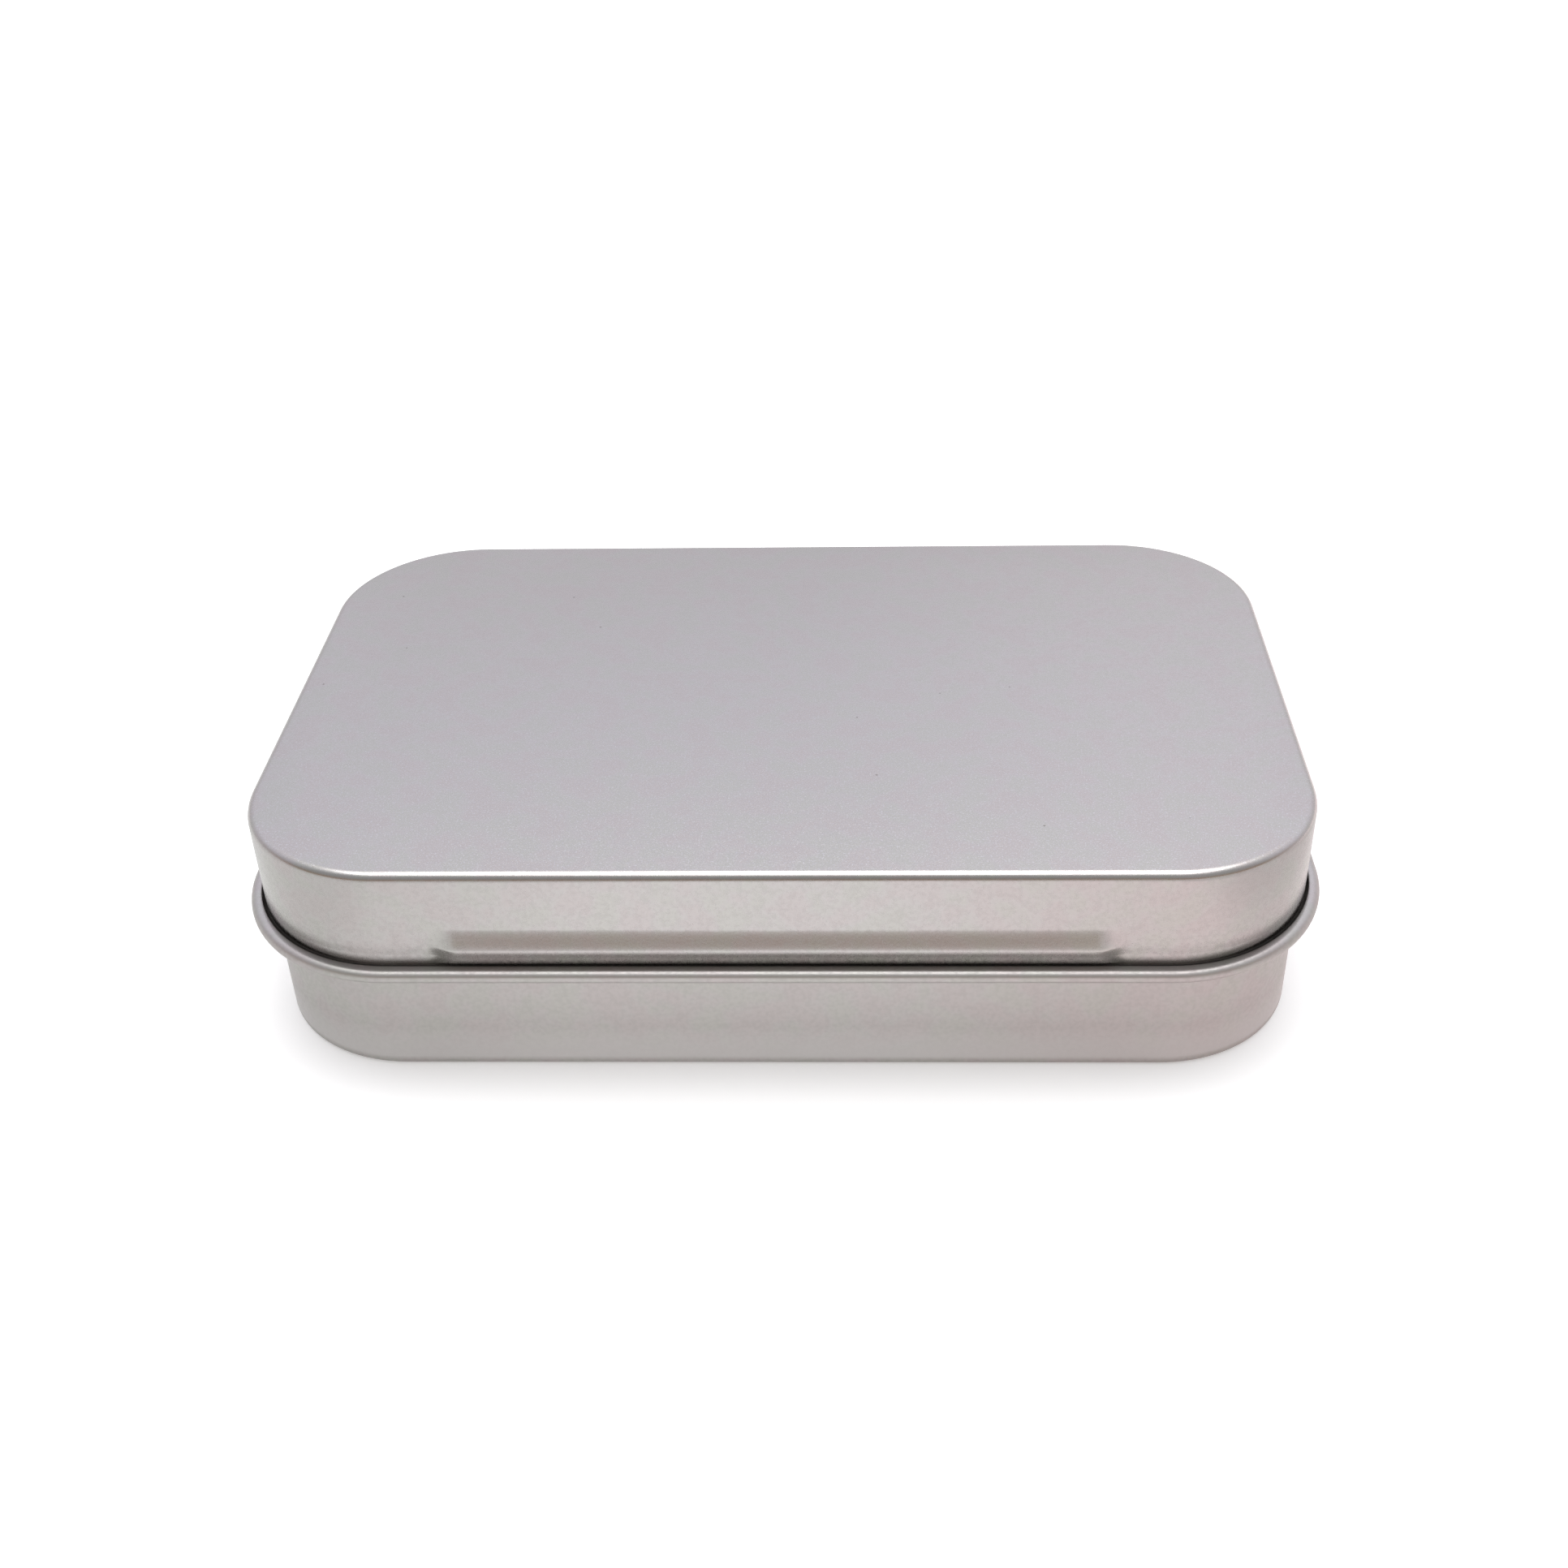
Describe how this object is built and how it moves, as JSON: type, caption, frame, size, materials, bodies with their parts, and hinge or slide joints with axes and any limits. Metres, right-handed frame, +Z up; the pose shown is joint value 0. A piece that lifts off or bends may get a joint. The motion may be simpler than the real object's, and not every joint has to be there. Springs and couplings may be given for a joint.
{
  "type": "hinged tin",
  "caption": "Small rectangular hinged tin with rounded corners, a rolled lid edge and a pressed ridge above a thumb lip.",
  "frame": {"origin": "middle of the underside, below the middle of the lid's plan", "axes": "+X along the length, +Y from the thumb lip at the front to the hinge at the back, +Z up"},
  "size_m": [0.095, 0.0627, 0.0211],
  "materials": {
    "base_tinplate": "satin bare tinplate",
    "lid_tinplate": "satin bare tinplate"
  },
  "bodies": {
    "base": {"base": "base_tinplate"},
    "lid": {"lid": "lid_tinplate"}
  },
  "joints": [
    {"name": "lid_hinge", "type": "hinge", "parent": "base", "child": "lid", "pos_m": [0, 0.03024, 0.01155], "axis": [-1, 0, 0], "range_deg": [0, 110]}
  ]
}
